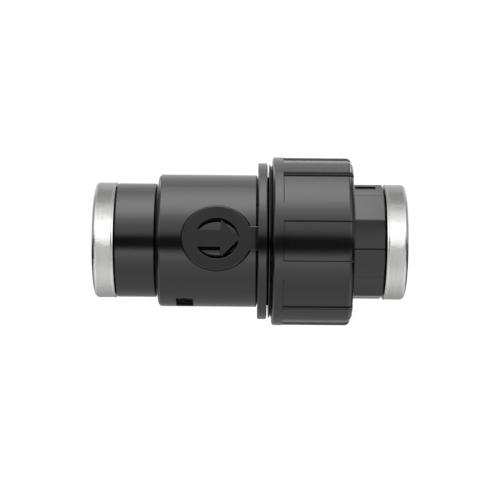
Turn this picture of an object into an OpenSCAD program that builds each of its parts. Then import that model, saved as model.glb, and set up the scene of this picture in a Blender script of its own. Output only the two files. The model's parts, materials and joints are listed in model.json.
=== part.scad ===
// Inline spring check valve in black polypropylene with a union nut and 1 inch female threads at both ends.
// The flow axis is X, from -X (inlet) to +X (outlet). The origin is the middle of the face-to-face length.
// The flow-arrow boss faces -Y. All sizes are in millimetres. Threads are plain cylinders: the sockets at
// the thread's major radius, the union thread at its crests.

/* [Valve] */
// Clear bore through the seat
bore_d = 26; // [24:0.5:26]
// Travel of the poppet from closed to fully open
lift = 8; // [6:0.5:8]

/* [End sockets] */
// Major diameter of the 1 inch pipe thread
socket_d = 33.3; // [33:0.1:33.5]
// Length of the thread in each socket
socket_len = 18; // [16:0.5:18]
// Outside diameter of the steel reinforcing rings
ring_d = 45; // [44.8:0.1:45.4]
// Width of the reinforcing rings
ring_w = 8.2; // [6:0.2:8.2]

/* [Body] */
// Diameter of the barrel
barrel_d = 51.4; // [51:0.1:52]
// Diameter of the flange beside the nut
flange_d = 60.9; // [58:0.1:62]
// Thickness of the flange
flange_t = 3.6; // [2.4:0.2:3.6]

/* [Arrow boss] */
// Length of the oval boss along the flow
boss_len = 26.5; // [24:0.5:27]
// Height of the oval boss
boss_h = 24; // [22:0.2:24.4]
// Distance of the boss's flat face from the flow axis
boss_reach = 26.7; // [26.4:0.1:27.5]

/* [Union nut] */
// Diameter over the grip ridges
nut_d = 65.5; // [64:0.5:67]
// Number of grip ridges
ridges = 9; // [8:1:12]
// Width of a grip ridge, in degrees
ridge_angle = 13.4; // [8:0.2:16]
// Depth of the panels between the ridges
panel_depth = 1.2; // [0.5:0.1:1.4]
// Turn of the panels about the flow axis, in degrees
nut_turn = 2; // [0:1:40]

/* [Spring] */
// Wire diameter
wire_d = 1.6; // [1:0.1:1.6]
// Mean diameter of the coils
coil_d = 17; // [16.6:0.1:17.4]
// Number of turns, with one closed turn at each end
turns = 7; // [6:1:8]

/* [Hidden] */
$fn = 96;

length = 120;           // face to face
x_out = length / 2;
face_t = 0.8;           // sheet thickness of the reinforcing rings
x_in = face_t - x_out;  // inlet end of the plastic
ring_end = ring_w - x_out;
ring_gap = 0.7;         // gap between the inlet ring's open edge and the plastic shoulder
relief_r = 20.8;        // floor of the groove beside each ring
bore_r = bore_d / 2;
socket_r = socket_d / 2;
ring_r = ring_d / 2;
ring_bend = 2;          // outside radius of the ring's folded edge
lip_r = 18.6;           // inner radius of the ring's folded lip
sleeve_r = ring_r - face_t;
under_ring_r = sleeve_r - 0.1;

neck_r = 22.15;
barrel_r = barrel_d / 2;
shoulder_x = -35.4;     // left face of the barrel, with a V groove before it
groove_x = 2.6;         // outlet end of the barrel, beside the flange
flange_end = 6.5;
flange_x = flange_end - flange_t;
body_end = 22;
boss_x = -12.5;         // middle of the arrow boss
thread_r = 26;          // crests of the union thread
chamber_r = 21;
cage_r = 22.2;          // counterbore for the cage and the connector's spigot
cage_x = 13;
seat_bore_r = 18.85;    // pocket of the seat ring
seat_x = -35.4;
seat_end = -30.4;
lip_x = -29.3;          // crest of the seat's lip, where the seal closes

disc_x = -26.8;         // upstream face of the poppet head
disc_end = -24.3;
disc_r = 17.2;
stem_r = 3.5;
thread_end_r = 2.5;     // threaded upstream end of the stem
plate_x = -30.8;
washer_x = plate_x - 1;
hub_x = -2;
hub_end = 16;
hub_r = 6.5;
bush_r = 5;
leg_x = 6;              // upstream face of the cage's legs
clip_x = hub_end + 0.4;
clip_t = 0.8;
spring_x = disc_end;
spring_end = leg_x - 0.8;

collar_x = 22.1;
collar_r = 25.7;
collar_end = 30.5;
flats = 12;
flats_r = 22.46;        // radius over the corners of the wrench flats
flats_turn = 8.8;       // turn of the corners about the flow axis
flats_end = 50.1;
spigot_x = 16.3;
o_groove_x = 17.9;
o_groove_r = 20;
o_ring_r = 1.1;         // half the section of the union O-ring

nut_x = 7.1;
nut_end = 39.2;
nut_r = nut_d / 2;
nut_bore_r = 26.15;
mouth_r = 22.9;
slip_end = 32.4;

// Points of an arc about [cx, cy], from angle a to angle b.
function arc(cx, cy, r, a, b, n = 5) = [for (i = [0:n])
    let (t = a + (b - a) * i / n) [cx + r * cos(t), cy + r * sin(t)]];

// Turns a shape built about Z so that Z becomes the flow axis.
module along_flow() {
    rotate([0, 90, 0]) children();
}

// Solid of revolution about the flow axis, from points given as [x, radius].
module turned(points) {
    along_flow() rotate_extrude() polygon([for (p = points) [p[1], p[0]]]);
}

module tube(x0, x1, r_out, r_in) {
    turned([[x0, r_in], [x1, r_in], [x1, r_out], [x0, r_out]]);
}

module rod(x0, x1, r) {
    along_flow() translate([0, 0, x0]) cylinder(r = r, h = x1 - x0);
}

module o_ring(x, mid_r, section_r) {
    along_flow() translate([0, 0, x]) rotate_extrude() translate([mid_r, 0]) circle(section_r, $fn = 24);
}

// Sector of a tube, between two angles about the flow axis.
module sector(x0, x1, r_out, r_in, from, angle) {
    rotate([from, 0, 0]) along_flow() translate([0, 0, x0]) rotate_extrude(angle = angle)
        translate([r_in, 0]) square([r_out - r_in, x1 - x0]);
}

// Extrudes a flat outline, seen from -Y, between two distances from the flow axis.
module outward(r0, r1) {
    translate([0, -r0, 0]) rotate([90, 0, 0]) linear_extrude(r1 - r0) children();
}

module oval(w, h) {
    polygon([for (a = [0:6:354]) [w / 2 * cos(a), h / 2 * sin(a)]]);
}

// Flow arrow pointing to +X; its tail and its tip run into the border round the field.
module arrow() {
    shaft_h = 3.2;
    barb_h = 6.9;
    tail = 9.2;
    tip = 8.6;
    neck = 1.1;
    barb = 1.7;
    polygon([[-tail, -shaft_h], [neck, -shaft_h], [barb, -barb_h], [tip, 0], [barb, barb_h],
             [neck, shaft_h], [-tail, shaft_h]]);
}

// Oval boss with a bridge to the flange.
module arrow_boss() {
    bridge_h = 9;
    root = 22.5; // starts inside the barrel's wall
    outward(root, boss_reach) translate([boss_x, 0]) oval(boss_len, boss_h);
    outward(root, boss_reach) translate([-3, -bridge_h / 2]) square([flange_x + 4, bridge_h]);
}

// Sunk field round the arrow, down to just below the barrel's surface. Its walls lean downwards, the way
// the mould's side core was drawn.
module arrow_field() {
    field_len = 16.8;
    field_h = 15.9;
    lean = 30;
    reach = 6;
    floor_r = barrel_r - 0.6;
    difference() {
        translate([boss_x, -boss_reach, 0]) rotate([90 - lean, 0, 0]) translate([0, 0, -reach])
            linear_extrude(2 * reach) scale([1, cos(lean)]) difference() {
                oval(field_len, field_h);
                arrow();
            }
        rod(boss_x - field_len, boss_x + field_len, floor_r);
    }
}

// Sunk rectangular gate mark of width w along the flow and height h, at a turn below straight out.
module gate_mark(x, w, h, floor_r, turn) {
    rotate([turn, 0, 0]) outward(floor_r, floor_r + 4) translate([x - w / 2, -h / 2]) square([w, h]);
}

// Stub of the sprue left standing in the gate mark.
module sprue_stub() {
    stub_x = -25.5;
    stub_turn = 72;
    rotate([stub_turn, 0, 0]) outward(barrel_r - 3.5, barrel_r + 0.4) translate([stub_x, 0])
        circle(0.95, $fn = 24);
}

module valve_body() {
    v_half = 0.5;
    v_depth = 1.2;
    shoulder = 1.5;
    barrel_end = 1;
    edge = 0.5;
    color("#26272a") {
        difference() {
            union() {
                turned(concat([[x_in, 0]],
                    arc(x_in + 1.2, under_ring_r - 1.2, 1.2, 180, 90),
                    [[ring_end - 0.2, under_ring_r], [ring_end - 0.2, relief_r],
                     [ring_end + ring_gap, relief_r], [ring_end + ring_gap, neck_r]],
                    [[shoulder_x - 2 * v_half, neck_r], [shoulder_x - v_half, neck_r - v_depth],
                     [shoulder_x, neck_r]],
                    arc(shoulder_x + shoulder, barrel_r - shoulder, shoulder, 180, 90),
                    arc(groove_x - barrel_end, barrel_r - barrel_end, barrel_end, 90, 0),
                    [[groove_x, barrel_r - 1], [flange_x, barrel_r - 1]],
                    arc(flange_x + edge, flange_d / 2 - edge, edge, 180, 90, 3),
                    arc(flange_end - edge, flange_d / 2 - edge, edge, 90, 0, 3),
                    [[flange_end, thread_r], [body_end - 1, thread_r], [body_end, thread_r - 1],
                     [body_end, 0]]));
                arrow_boss();
            }
            body_hollow();
            arrow_field();
            gate_mark(-25, 6.4, 12.4, barrel_r - 2.5, 77);
        }
        sprue_stub();
    }
}

// Threaded socket, bore, seat pocket, chamber and counterbore for the cage.
module body_hollow() {
    mouth = 1;
    socket_x = x_in + mouth;
    socket_end = socket_x + socket_len;
    turned([[x_in - 1, 0], [x_in - 1, socket_r + mouth + 1], [socket_x, socket_r],
            [socket_end, socket_r], [socket_end, bore_r + 0.5], [seat_x, bore_r + 0.5],
            [seat_x, seat_bore_r], [seat_end, seat_bore_r],
            [seat_end, chamber_r], [cage_x, chamber_r], [cage_x, cage_r], [body_end - 0.6, cage_r],
            [body_end + 1, cage_r + 1.6], [body_end + 1, 0]]);
}

// Reinforcing ring pressed over a socket's end: a sleeve with a rounded edge and a folded lip.
module reinforcing_ring() {
    inner = ring_bend - face_t;
    turned(concat([[-x_out, lip_r]],
        arc(ring_bend - x_out, ring_r - ring_bend, ring_bend, 180, 90, 8),
        [[ring_end, ring_r], [ring_end, sleeve_r]],
        arc(ring_bend - x_out, sleeve_r - inner, inner, 90, 180, 8),
        [[face_t - x_out, lip_r]]));
}

module inlet_ring() {
    color("#c8cacc") reinforcing_ring();
}

module outlet_ring() {
    color("#c8cacc") mirror([1, 0, 0]) reinforcing_ring();
}

// Seat insert pressed into its pocket, with an O-ring groove and a raised lip that the seal closes on.
module seat_ring() {
    r = seat_bore_r - 0.05;
    groove_r = seat_bore_r - 1.9;
    groove_x0 = seat_x + 1.4;
    groove_x1 = groove_x0 + 2.2;
    lip_in = 14.5;
    lip_out = 15.5;
    color("#dedcd4") turned([
        [seat_x, bore_r], [seat_end, bore_r], [lip_x - 0.3, lip_in - 0.4], [lip_x, lip_in],
        [lip_x, lip_out - 0.3],
        [lip_x - 0.3, lip_out], [seat_end, lip_out], [seat_end, r], [groove_x1, r], [groove_x1, groove_r],
        [groove_x0, groove_r], [groove_x0, r], [seat_x + 0.5, r], [seat_x, r - 0.5]]);
}

module seat_o_ring() {
    section_r = 0.9;
    color("#161616") o_ring(seat_x + 2.5, seat_bore_r - 1, section_r);
}

// Cage: a rim clamped between body and connector, and four legs that carry the stem's hub.
module guide_cage() {
    rim_in = 19.2;
    leg_t = 3;
    leg_count = 4;
    rim_end = spigot_x - 0.1;
    rim_x = cage_x + 0.05;
    leg_r = 20.5;
    color("#ecebe4") difference() {
        union() {
            tube(rim_x, rim_end, cage_r - 0.1, rim_in);
            tube(hub_x, hub_end, hub_r, bush_r);
            for (i = [0:leg_count - 1])
                rotate([45 + i * 360 / leg_count, 0, 0]) translate([leg_x, -leg_t / 2, hub_r - 0.6])
                    cube([rim_end - leg_x, leg_t, leg_r - hub_r]);
        }
        rod(hub_x - 1, hub_end + 1, bush_r);
    }
}

module stem_bush() {
    clearance = 0.05;
    color("#cfcabb") tube(hub_x, hub_end, bush_r, stem_r + clearance);
}

module spring_washer() {
    color("#c2c4c6") tube(spring_end, leg_x, 10.2, hub_r + 0.2);
}

// Compression spring: a round wire swept along a helix with one closed turn at each end.
module spring() {
    per_turn = 24;
    sides = 8;
    steps = per_turn * turns;
    slack = 0.02;
    first = spring_x + wire_d / 2 + slack;
    last = spring_end - wire_d / 2 - slack;
    closed = wire_d + slack;
    open = (last - first - 2 * closed) / (turns - 2);
    function wire_x(t) = t < 1 ? first + t * closed
        : t > turns - 1 ? last - (turns - t) * closed
        : first + closed + (t - 1) * open;
    points = [for (i = [0:steps], k = [0:sides - 1])
        let (a = 360 * i / per_turn, b = 360 * k / sides, r = coil_d / 2 + wire_d / 2 * cos(b))
            [wire_x(i / per_turn) + wire_d / 2 * sin(b), r * cos(a), r * sin(a)]];
    skin = [for (i = [0:steps - 1], k = [0:sides - 1])
        let (n = (k + 1) % sides, p = i * sides) [p + k, p + n, p + sides + n, p + sides + k]];
    ends = [[for (k = [sides - 1:-1:0]) k], [for (k = [0:sides - 1]) steps * sides + k]];
    color("#cdd0d2") polyhedron(points, concat(skin, ends));
}

// Head of the poppet: a disc with a rim round the seal and a spigot that centres the spring.
module poppet_head() {
    rim_x = disc_x - 1.2;
    rim_t = 0.7;
    round = 1;
    spigot_r = coil_d / 2 - wire_d / 2 - 0.2;
    spigot_end = disc_end + 4;
    color("#2f3134") turned([
        [disc_x, thread_end_r], [disc_x, disc_r - rim_t], [rim_x, disc_r - rim_t], [rim_x, disc_r - 0.2],
        [rim_x + 0.2, disc_r], [disc_end - round, disc_r], [disc_end, disc_r - round], [disc_end, spigot_r],
        [spigot_end - 1.5, spigot_r], [spigot_end, spigot_r - 1.5], [spigot_end, thread_end_r]]);
}

// Steel stem: threaded through the head, with a shoulder that meets the hub at full lift.
module poppet_stem() {
    shoulder_r = 5.4;
    head_end = disc_end + 4;
    shoulder_end = hub_x - lift;
    nut_side = washer_x - 5;
    groove_r = 2.7;
    stem_end = clip_x + 3;
    color("#b4b7ba") turned([
        [nut_side, 0], [nut_side, thread_end_r - 0.4], [nut_side + 0.4, thread_end_r],
        [head_end, thread_end_r], [head_end, shoulder_r], [shoulder_end - 0.4, shoulder_r],
        [shoulder_end, shoulder_r - 0.4],
        [shoulder_end, stem_r], [clip_x, stem_r], [clip_x, groove_r], [clip_x + clip_t, groove_r],
        [clip_x + clip_t, stem_r], [stem_end - 0.6, stem_r], [stem_end, stem_r - 0.6], [stem_end, 0]]);
}

module poppet_seal() {
    r = disc_r - 0.75;
    color("#141414") turned([[lip_x, thread_end_r], [lip_x, r - 0.3], [lip_x + 0.3, r], [disc_x, r],
                             [disc_x, thread_end_r]]);
}

module seal_plate() {
    r = 12;
    color("#c2c4c6") turned([[plate_x, thread_end_r], [plate_x, r - 0.6], [plate_x + 0.6, r], [lip_x, r],
                             [lip_x, thread_end_r]]);
}

module lock_washer() {
    split = 12;
    color("#b9bcc0") sector(washer_x, plate_x, 4.4, thread_end_r, 60, 360 - split);
}

module seal_nut() {
    across = 8;
    height = 4;
    chamfer = 0.5;
    corner_r = across / sqrt(3);
    color("#b9bcc0") intersection() {
        difference() {
            along_flow() translate([0, 0, washer_x - height]) cylinder(r = corner_r, h = height, $fn = 6);
            rod(washer_x - height - 1, washer_x + 1, thread_end_r);
        }
        turned([[washer_x - height, 0], [washer_x - height, corner_r - chamfer],
                [washer_x - height + chamfer, corner_r + 0.1], [washer_x, corner_r + 0.1], [washer_x, 0]]);
    }
}

// E-clip on the stem's tail.
module stem_clip() {
    opening = 80;
    color("#b9bcc0") sector(clip_x, clip_x + clip_t, 6, 2.7, 130, 360 - opening);
}

module union_o_ring() {
    color("#161616") o_ring((o_groove_x + 20.4) / 2, o_groove_r + o_ring_r, o_ring_r);
}

// Outlet connector: spigot with the O-ring groove, collar held by the nut, wrench flats, threaded socket.
module outlet_connector() {
    spigot_r = cage_r - 0.1;
    o_groove_end = 20.4;
    cone_end = 38;
    cone_r = 13.8;
    socket_x = -x_in - 1;
    color("#26272a") difference() {
        union() {
            turned([[spigot_x, 0], [spigot_x, spigot_r - 0.4], [spigot_x + 0.4, spigot_r],
                    [o_groove_x, spigot_r],
                    [o_groove_x, o_groove_r], [o_groove_end, o_groove_r], [o_groove_end, spigot_r],
                    [collar_x, spigot_r], [collar_x, collar_r - 0.4], [collar_x + 0.4, collar_r],
                    [collar_end, collar_r], [collar_end, flats_r - 1], [collar_end, 0]]);
            along_flow() translate([0, 0, collar_end - 1]) rotate([0, 0, flats_turn])
                cylinder(r = flats_r, h = flats_end - collar_end + 1, $fn = flats);
            mirror([1, 0, 0]) turned(concat([[x_in, 0]],
                arc(x_in + 1.2, under_ring_r - 1.2, 1.2, 180, 90),
                [[ring_end - 0.2, under_ring_r], [ring_end - 0.2, relief_r],
                 [0.5 - flats_end, relief_r], [0.5 - flats_end, 0]]));
        }
        turned([[spigot_x - 1, 0], [spigot_x - 1, 19], [collar_x - 2, 19], [cone_end, cone_r],
                [socket_x - socket_len, cone_r], [socket_x - socket_len, socket_r], [socket_x, socket_r],
                [-x_in + 1, socket_r + 2], [-x_in + 1, 0]]);
        gate_mark(44.4, 7.8, 2.9, flats_r - 1.5, -72);
    }
}

// Slip ring that lets the nut turn on the collar without dragging it round.
module slip_ring() {
    color("#d9d6cb") tube(collar_end, slip_end, nut_bore_r - 0.25, mouth_r + 0.1);
}

// Union nut: lip and plain collar at the inlet side, panels between the grip ridges, and a shoulder behind
// the connector's collar.
module union_nut() {
    panel_x = 12.6;
    lip_t = 0.5;
    lip_r = nut_r - 2.8;
    body_x = nut_x + 1.3;
    round = 1.4;
    end_round = 2.1;
    panel_angle = 360 / ridges - ridge_angle;
    color("#2a2b2e") difference() {
        turned(concat([[nut_x, nut_bore_r + 0.6], [nut_x, lip_r - 0.2], [nut_x + 0.2, lip_r],
                       [nut_x + lip_t, lip_r], [(nut_x + lip_t + body_x) / 2, lip_r - 0.9],
                       [body_x, lip_r]],
            arc(body_x + round, nut_r - round, round, 180, 90),
            arc(nut_end - end_round, nut_r - end_round, end_round, 90, 0),
            [[nut_end, mouth_r + 0.4], [nut_end - 0.4, mouth_r], [slip_end + 0.1, mouth_r],
             [slip_end + 0.1, nut_bore_r], [nut_x + 0.6, nut_bore_r]]));
        for (i = [0:ridges - 1])
            sector(panel_x, nut_end + 1, nut_r + 1, nut_r - panel_depth,
                   270 + nut_turn + i * 360 / ridges - panel_angle / 2, panel_angle);
    }
}

valve_body();
inlet_ring();
seat_ring();
seat_o_ring();
guide_cage();
stem_bush();
spring_washer();
spring();
poppet_head();
poppet_stem();
poppet_seal();
seal_plate();
lock_washer();
seal_nut();
stem_clip();
outlet_connector();
outlet_ring();
union_o_ring();
slip_ring();
union_nut();
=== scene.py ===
"""Looks for the union check valve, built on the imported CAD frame.

The flow runs along +X, the arrow boss faces -Y and +Z is up. Lengths are in millimetres until a mesh is made.
"""

import json
import math

import bmesh
import bpy
import numpy as np
from mathutils import Matrix, Vector


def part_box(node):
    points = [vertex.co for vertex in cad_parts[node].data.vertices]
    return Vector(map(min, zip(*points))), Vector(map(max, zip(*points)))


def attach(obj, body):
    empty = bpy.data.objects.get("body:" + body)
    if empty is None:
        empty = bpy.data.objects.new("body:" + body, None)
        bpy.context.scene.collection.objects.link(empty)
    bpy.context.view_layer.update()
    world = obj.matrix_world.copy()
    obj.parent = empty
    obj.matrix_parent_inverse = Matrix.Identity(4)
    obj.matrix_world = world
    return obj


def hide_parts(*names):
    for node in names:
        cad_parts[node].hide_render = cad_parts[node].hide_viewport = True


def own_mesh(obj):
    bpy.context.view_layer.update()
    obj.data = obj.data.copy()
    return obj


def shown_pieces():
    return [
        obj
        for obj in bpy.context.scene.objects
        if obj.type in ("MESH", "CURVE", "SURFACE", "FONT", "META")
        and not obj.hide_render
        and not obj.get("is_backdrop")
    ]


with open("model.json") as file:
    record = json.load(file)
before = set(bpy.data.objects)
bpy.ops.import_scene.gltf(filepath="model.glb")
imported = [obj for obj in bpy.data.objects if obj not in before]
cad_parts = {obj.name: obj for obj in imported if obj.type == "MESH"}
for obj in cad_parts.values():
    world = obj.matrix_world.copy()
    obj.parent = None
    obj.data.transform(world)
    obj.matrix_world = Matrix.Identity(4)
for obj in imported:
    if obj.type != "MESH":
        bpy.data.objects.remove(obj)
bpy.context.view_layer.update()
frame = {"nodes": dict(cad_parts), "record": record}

MM = 0.001
TURN = 2 * math.pi

# Arrow boss: centre along the flow, height of its face, half axes of its oval, half width of its bridge.
BOSS_X, BOSS_Y, BOSS_A, BOSS_B, BRIDGE_HALF = -12.5, -26.7, 13.25, 12.0, 4.5


def span(node):
    """Start, end and outer radius of a CAD node along the flow axis, in mm."""
    lo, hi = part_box(node)
    return lo.x / MM, hi.x / MM, max(hi.z, hi.y) / MM


# ---------------------------------------------------------------- profiles and lathe work

ARC_STEP = math.radians(13)
STRAIGHT = math.pi - 0.02
FILLET_SHARE = 0.46  # of the run beside a corner, at most
HOLD, HOLD_SHARE, SHORT_RUN = 0.07, 0.2, 0.05


def rounded(corners, step=2.5):
    """Closed outline from (x, r, fillet) corners.

    It has arcs at the corners, hold loops beside them, and long runs divided into steps.
    """
    pts = [np.array(c[:2], float) for c in corners]
    fillets = [c[2] for c in corners]
    n = len(pts)
    runs = []
    for i in range(n):
        p, a, b = pts[i], pts[i - 1] - pts[i], pts[(i + 1) % n] - pts[i]
        la, lb = np.linalg.norm(a), np.linalg.norm(b)
        a, b = a / la, b / lb
        alpha = math.acos(max(-1, min(1, float(a @ b))))
        if alpha > STRAIGHT or fillets[i] <= 0:
            runs.append([p])
            continue
        d = min(fillets[i] / math.tan(alpha / 2), FILLET_SHARE * la, FILLET_SHARE * lb)
        f = d * math.tan(alpha / 2)
        centre = p + (a + b) / np.linalg.norm(a + b) * f / math.sin(alpha / 2)
        s, e = p + a * d - centre, p + b * d - centre
        turn = math.pi - alpha
        count = max(2, int(math.ceil(turn / ARC_STEP)))
        sign = 1 if s[0] * e[1] - s[1] * e[0] > 0 else -1
        arc = []
        for k in range(count + 1):
            t = sign * turn * k / count
            c, q = math.cos(t), math.sin(t)
            arc.append(centre + np.array([s[0] * c - s[1] * q, s[0] * q + s[1] * c]))
        runs.append(arc)
    out = []
    for i in range(n):
        out.extend(runs[i])
        a, b = runs[i][-1], runs[(i + 1) % n][0]
        length = np.linalg.norm(b - a)
        if length < SHORT_RUN:
            continue
        hold = min(HOLD, length * HOLD_SHARE)
        inner = length - 2 * hold
        parts = max(1, int(math.ceil(inner / step)))
        for k in range(parts + 1):
            out.append(a + (b - a) * (hold + inner * k / parts) / length)
    return np.array(out)


def smooth(t):
    """0 below 0, 1 above 1, and an even S between."""
    t = np.clip(t, 0, 1)
    return t * t * (3 - 2 * t)


def inside(gap, width):
    """1 where gap is well above 0 and 0 where it is well below, blended over this width."""
    return smooth(gap / width + 0.5)


def fade(x, x0, x1, run):
    """1 between x0 and x1, falling smoothly to 0 over run at each end, inside the range."""
    return smooth((x - x0) / run) * smooth((x1 - x) / run)


def beyond(t, angle):
    """How far t lies past an angle, within half a turn either way."""
    return ((t - angle + math.pi) % TURN) - math.pi


def new_object(name, verts, faces, material=None, smooth_shade=True):
    """Mesh object from points in mm, its faces turned outwards."""
    mesh = bpy.data.meshes.new(name)
    mesh.from_pydata((np.asarray(verts) * MM).tolist(), [], [list(map(int, f)) for f in faces])
    mesh.validate()
    bm = bmesh.new()
    bm.from_mesh(mesh)
    bmesh.ops.recalc_face_normals(bm, faces=bm.faces)
    bm.to_mesh(mesh)
    bm.free()
    if smooth_shade:
        mesh.polygons.foreach_set("use_smooth", [True] * len(mesh.polygons))
    obj = bpy.data.objects.new(name, mesh)
    bpy.context.scene.collection.objects.link(obj)
    if material:
        mesh.materials.append(material)
    return obj


def even_angles(count):
    return np.arange(count) * TURN / count


def fine_angles(base, extra, width, count):
    """An even set of angles, with count lines over width radians at each angle in extra."""
    ts = [t for t in even_angles(base) if all(abs(beyond(t, e)) > width * 0.75 for e in extra)]
    for e in extra:
        ts += [(e + width * (k / (count - 1) - 0.5)) % TURN for k in range(count)]
    return np.array(sorted(set(round(t, 9) for t in ts)))


def spin(outline, angles, warp):
    """Points of an outline at each angle from -Y up towards +Z, row by row, moved by warp(x, r, t)."""
    m, n = len(outline), len(angles)
    x, r = (np.repeat(outline[:, k][:, None], n, 1) for k in (0, 1))
    t = np.repeat(angles[None, :], m, 0)
    x, r = warp(x, r, t)
    return np.stack([x, -r * np.cos(t), r * np.sin(t)], axis=-1).reshape(-1, 3)


def lathe(name, outline, angles, warp, **kw):
    """Closed outline turned about the flow axis."""
    m, n = len(outline), len(angles)
    i, j = np.meshgrid(np.arange(m), np.arange(n), indexing="ij")
    i2, j2 = (i + 1) % m, (j + 1) % n
    faces = np.stack([i * n + j, i * n + j2, i2 * n + j2, i2 * n + j], axis=-1).reshape(-1, 4)
    return new_object(name, spin(outline, angles, warp), faces, **kw)


def turned_solid(name, outline, angles, warp, **kw):
    """As lathe, for an open outline whose two ends lie on the axis."""
    m, n = len(outline), len(angles)
    verts = spin(outline[1:-1], angles, warp).tolist()
    a, b = len(verts), len(verts) + 1
    verts += [[outline[0][0], 0, 0], [outline[-1][0], 0, 0]]
    faces = []
    for k in range(m - 3):
        for j in range(n):
            j2 = (j + 1) % n
            faces.append([k * n + j, k * n + j2, (k + 1) * n + j2, (k + 1) * n + j])
    for j in range(n):
        j2 = (j + 1) % n
        faces.append([a, j2, j])
        faces.append([b, (m - 3) * n + j, (m - 3) * n + j2])
    return new_object(name, verts, faces, **kw)


def swept(name, sections, closed=False, **kw):
    """Skin over sections with the same number of points; open ends are capped."""
    n, w = len(sections), len(sections[0])
    verts = np.array(sections).reshape(-1, 3)
    faces = []
    for k in range(n if closed else n - 1):
        a, b = k * w, (k + 1) % n * w
        faces += [[a + i, a + (i + 1) % w, b + (i + 1) % w, b + i] for i in range(w)]
    if not closed:
        faces += [list(range(w)), list(range(n * w - 1, (n - 1) * w - 1, -1))]
    return new_object(name, verts, faces, **kw)


def rows(x0, x1, r, pitch, per_pitch=18):
    """Points of a straight run fine enough to carry a thread."""
    count = max(2, int(abs(x1 - x0) / pitch * per_pitch))
    return [(x0 + (x1 - x0) * k / count, r, 0) for k in range(count + 1)]


def thread_wave(x, t, pitch, land=0.18):
    """0 at the thread's root to 1 at its crest, for a right-hand thread of this pitch."""
    p = np.abs(((x / pitch + t / TURN) % 1) * 2 - 1)
    return smooth((p - land) / (1 - 2 * land))


def join(objs):
    """One object out of several, named after the first."""
    first = objs[0]
    bm = bmesh.new()
    for o in objs:
        tmp = o.data.copy()
        tmp.transform(first.matrix_world.inverted() @ o.matrix_world)
        bm.from_mesh(tmp)
        bpy.data.meshes.remove(tmp)
    bm.to_mesh(first.data)
    bm.free()
    for o in objs[1:]:
        bpy.data.objects.remove(o)
    return first


def apply_modifiers(obj):
    dg = bpy.context.evaluated_depsgraph_get()
    mesh = bpy.data.meshes.new_from_object(obj.evaluated_get(dg), depsgraph=dg)
    old = obj.data
    obj.modifiers.clear()
    obj.data = mesh
    bpy.data.meshes.remove(old)


def bevel_edges(o, width, angle):
    """Round every edge sharper than this angle, then weight the normals so that flat faces stay flat."""
    m = o.modifiers.new("bevel", "BEVEL")
    m.width, m.segments, m.limit_method, m.angle_limit = width * MM, 3, "ANGLE", angle
    m.harden_normals = False
    apply_modifiers(o)
    for p in o.data.polygons:
        p.use_smooth = True
    w = o.modifiers.new("normals", "WEIGHTED_NORMAL")
    w.keep_sharp = False
    w.weight = 100
    apply_modifiers(o)


def prism(name, outline, y0, y1, bevel, angle, lean=lambda y: 0.0):
    """Flat outline in (x, z), pushed from y0 to y1 with its edges rounded; lean(y) shifts it in z."""
    n = len(outline)
    verts = [(x, y, z + lean(y)) for y in (y0, y1) for x, z in outline]
    faces = [list(range(n)), list(range(2 * n - 1, n - 1, -1))]
    faces += [[i, i + n, (i + 1) % n + n, (i + 1) % n] for i in range(n)]
    o = new_object(name, verts, faces, smooth_shade=False)
    bevel_edges(o, bevel, angle)
    return o


# ---------------------------------------------------------------- materials

# Where the plastic is matt or carries painted shade, in metres. The arrow pad: its height and its end.
PAD_Y, PAD_END = BOSS_Y * MM + 0.00004, 0.002
# The gate mark, whose pocket gets painted shade: its radii, its reach along the flow, and its top.
GATE_MARK_R, GATE_MARK_X, GATE_MARK_TOP = (0.0226, 0.0251), (-0.034, -0.018), -0.018
# The foot of the arrow boss, whose corner gets painted shade: squared radius over the oval's, depth below the
# face, and half the bridge's gap.
FOOT_BAND, FOOT_DEPTH, FOOT_GAP = (0.985, 1.07), 0.0003, (BRIDGE_HALF + 0.1) * MM


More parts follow.
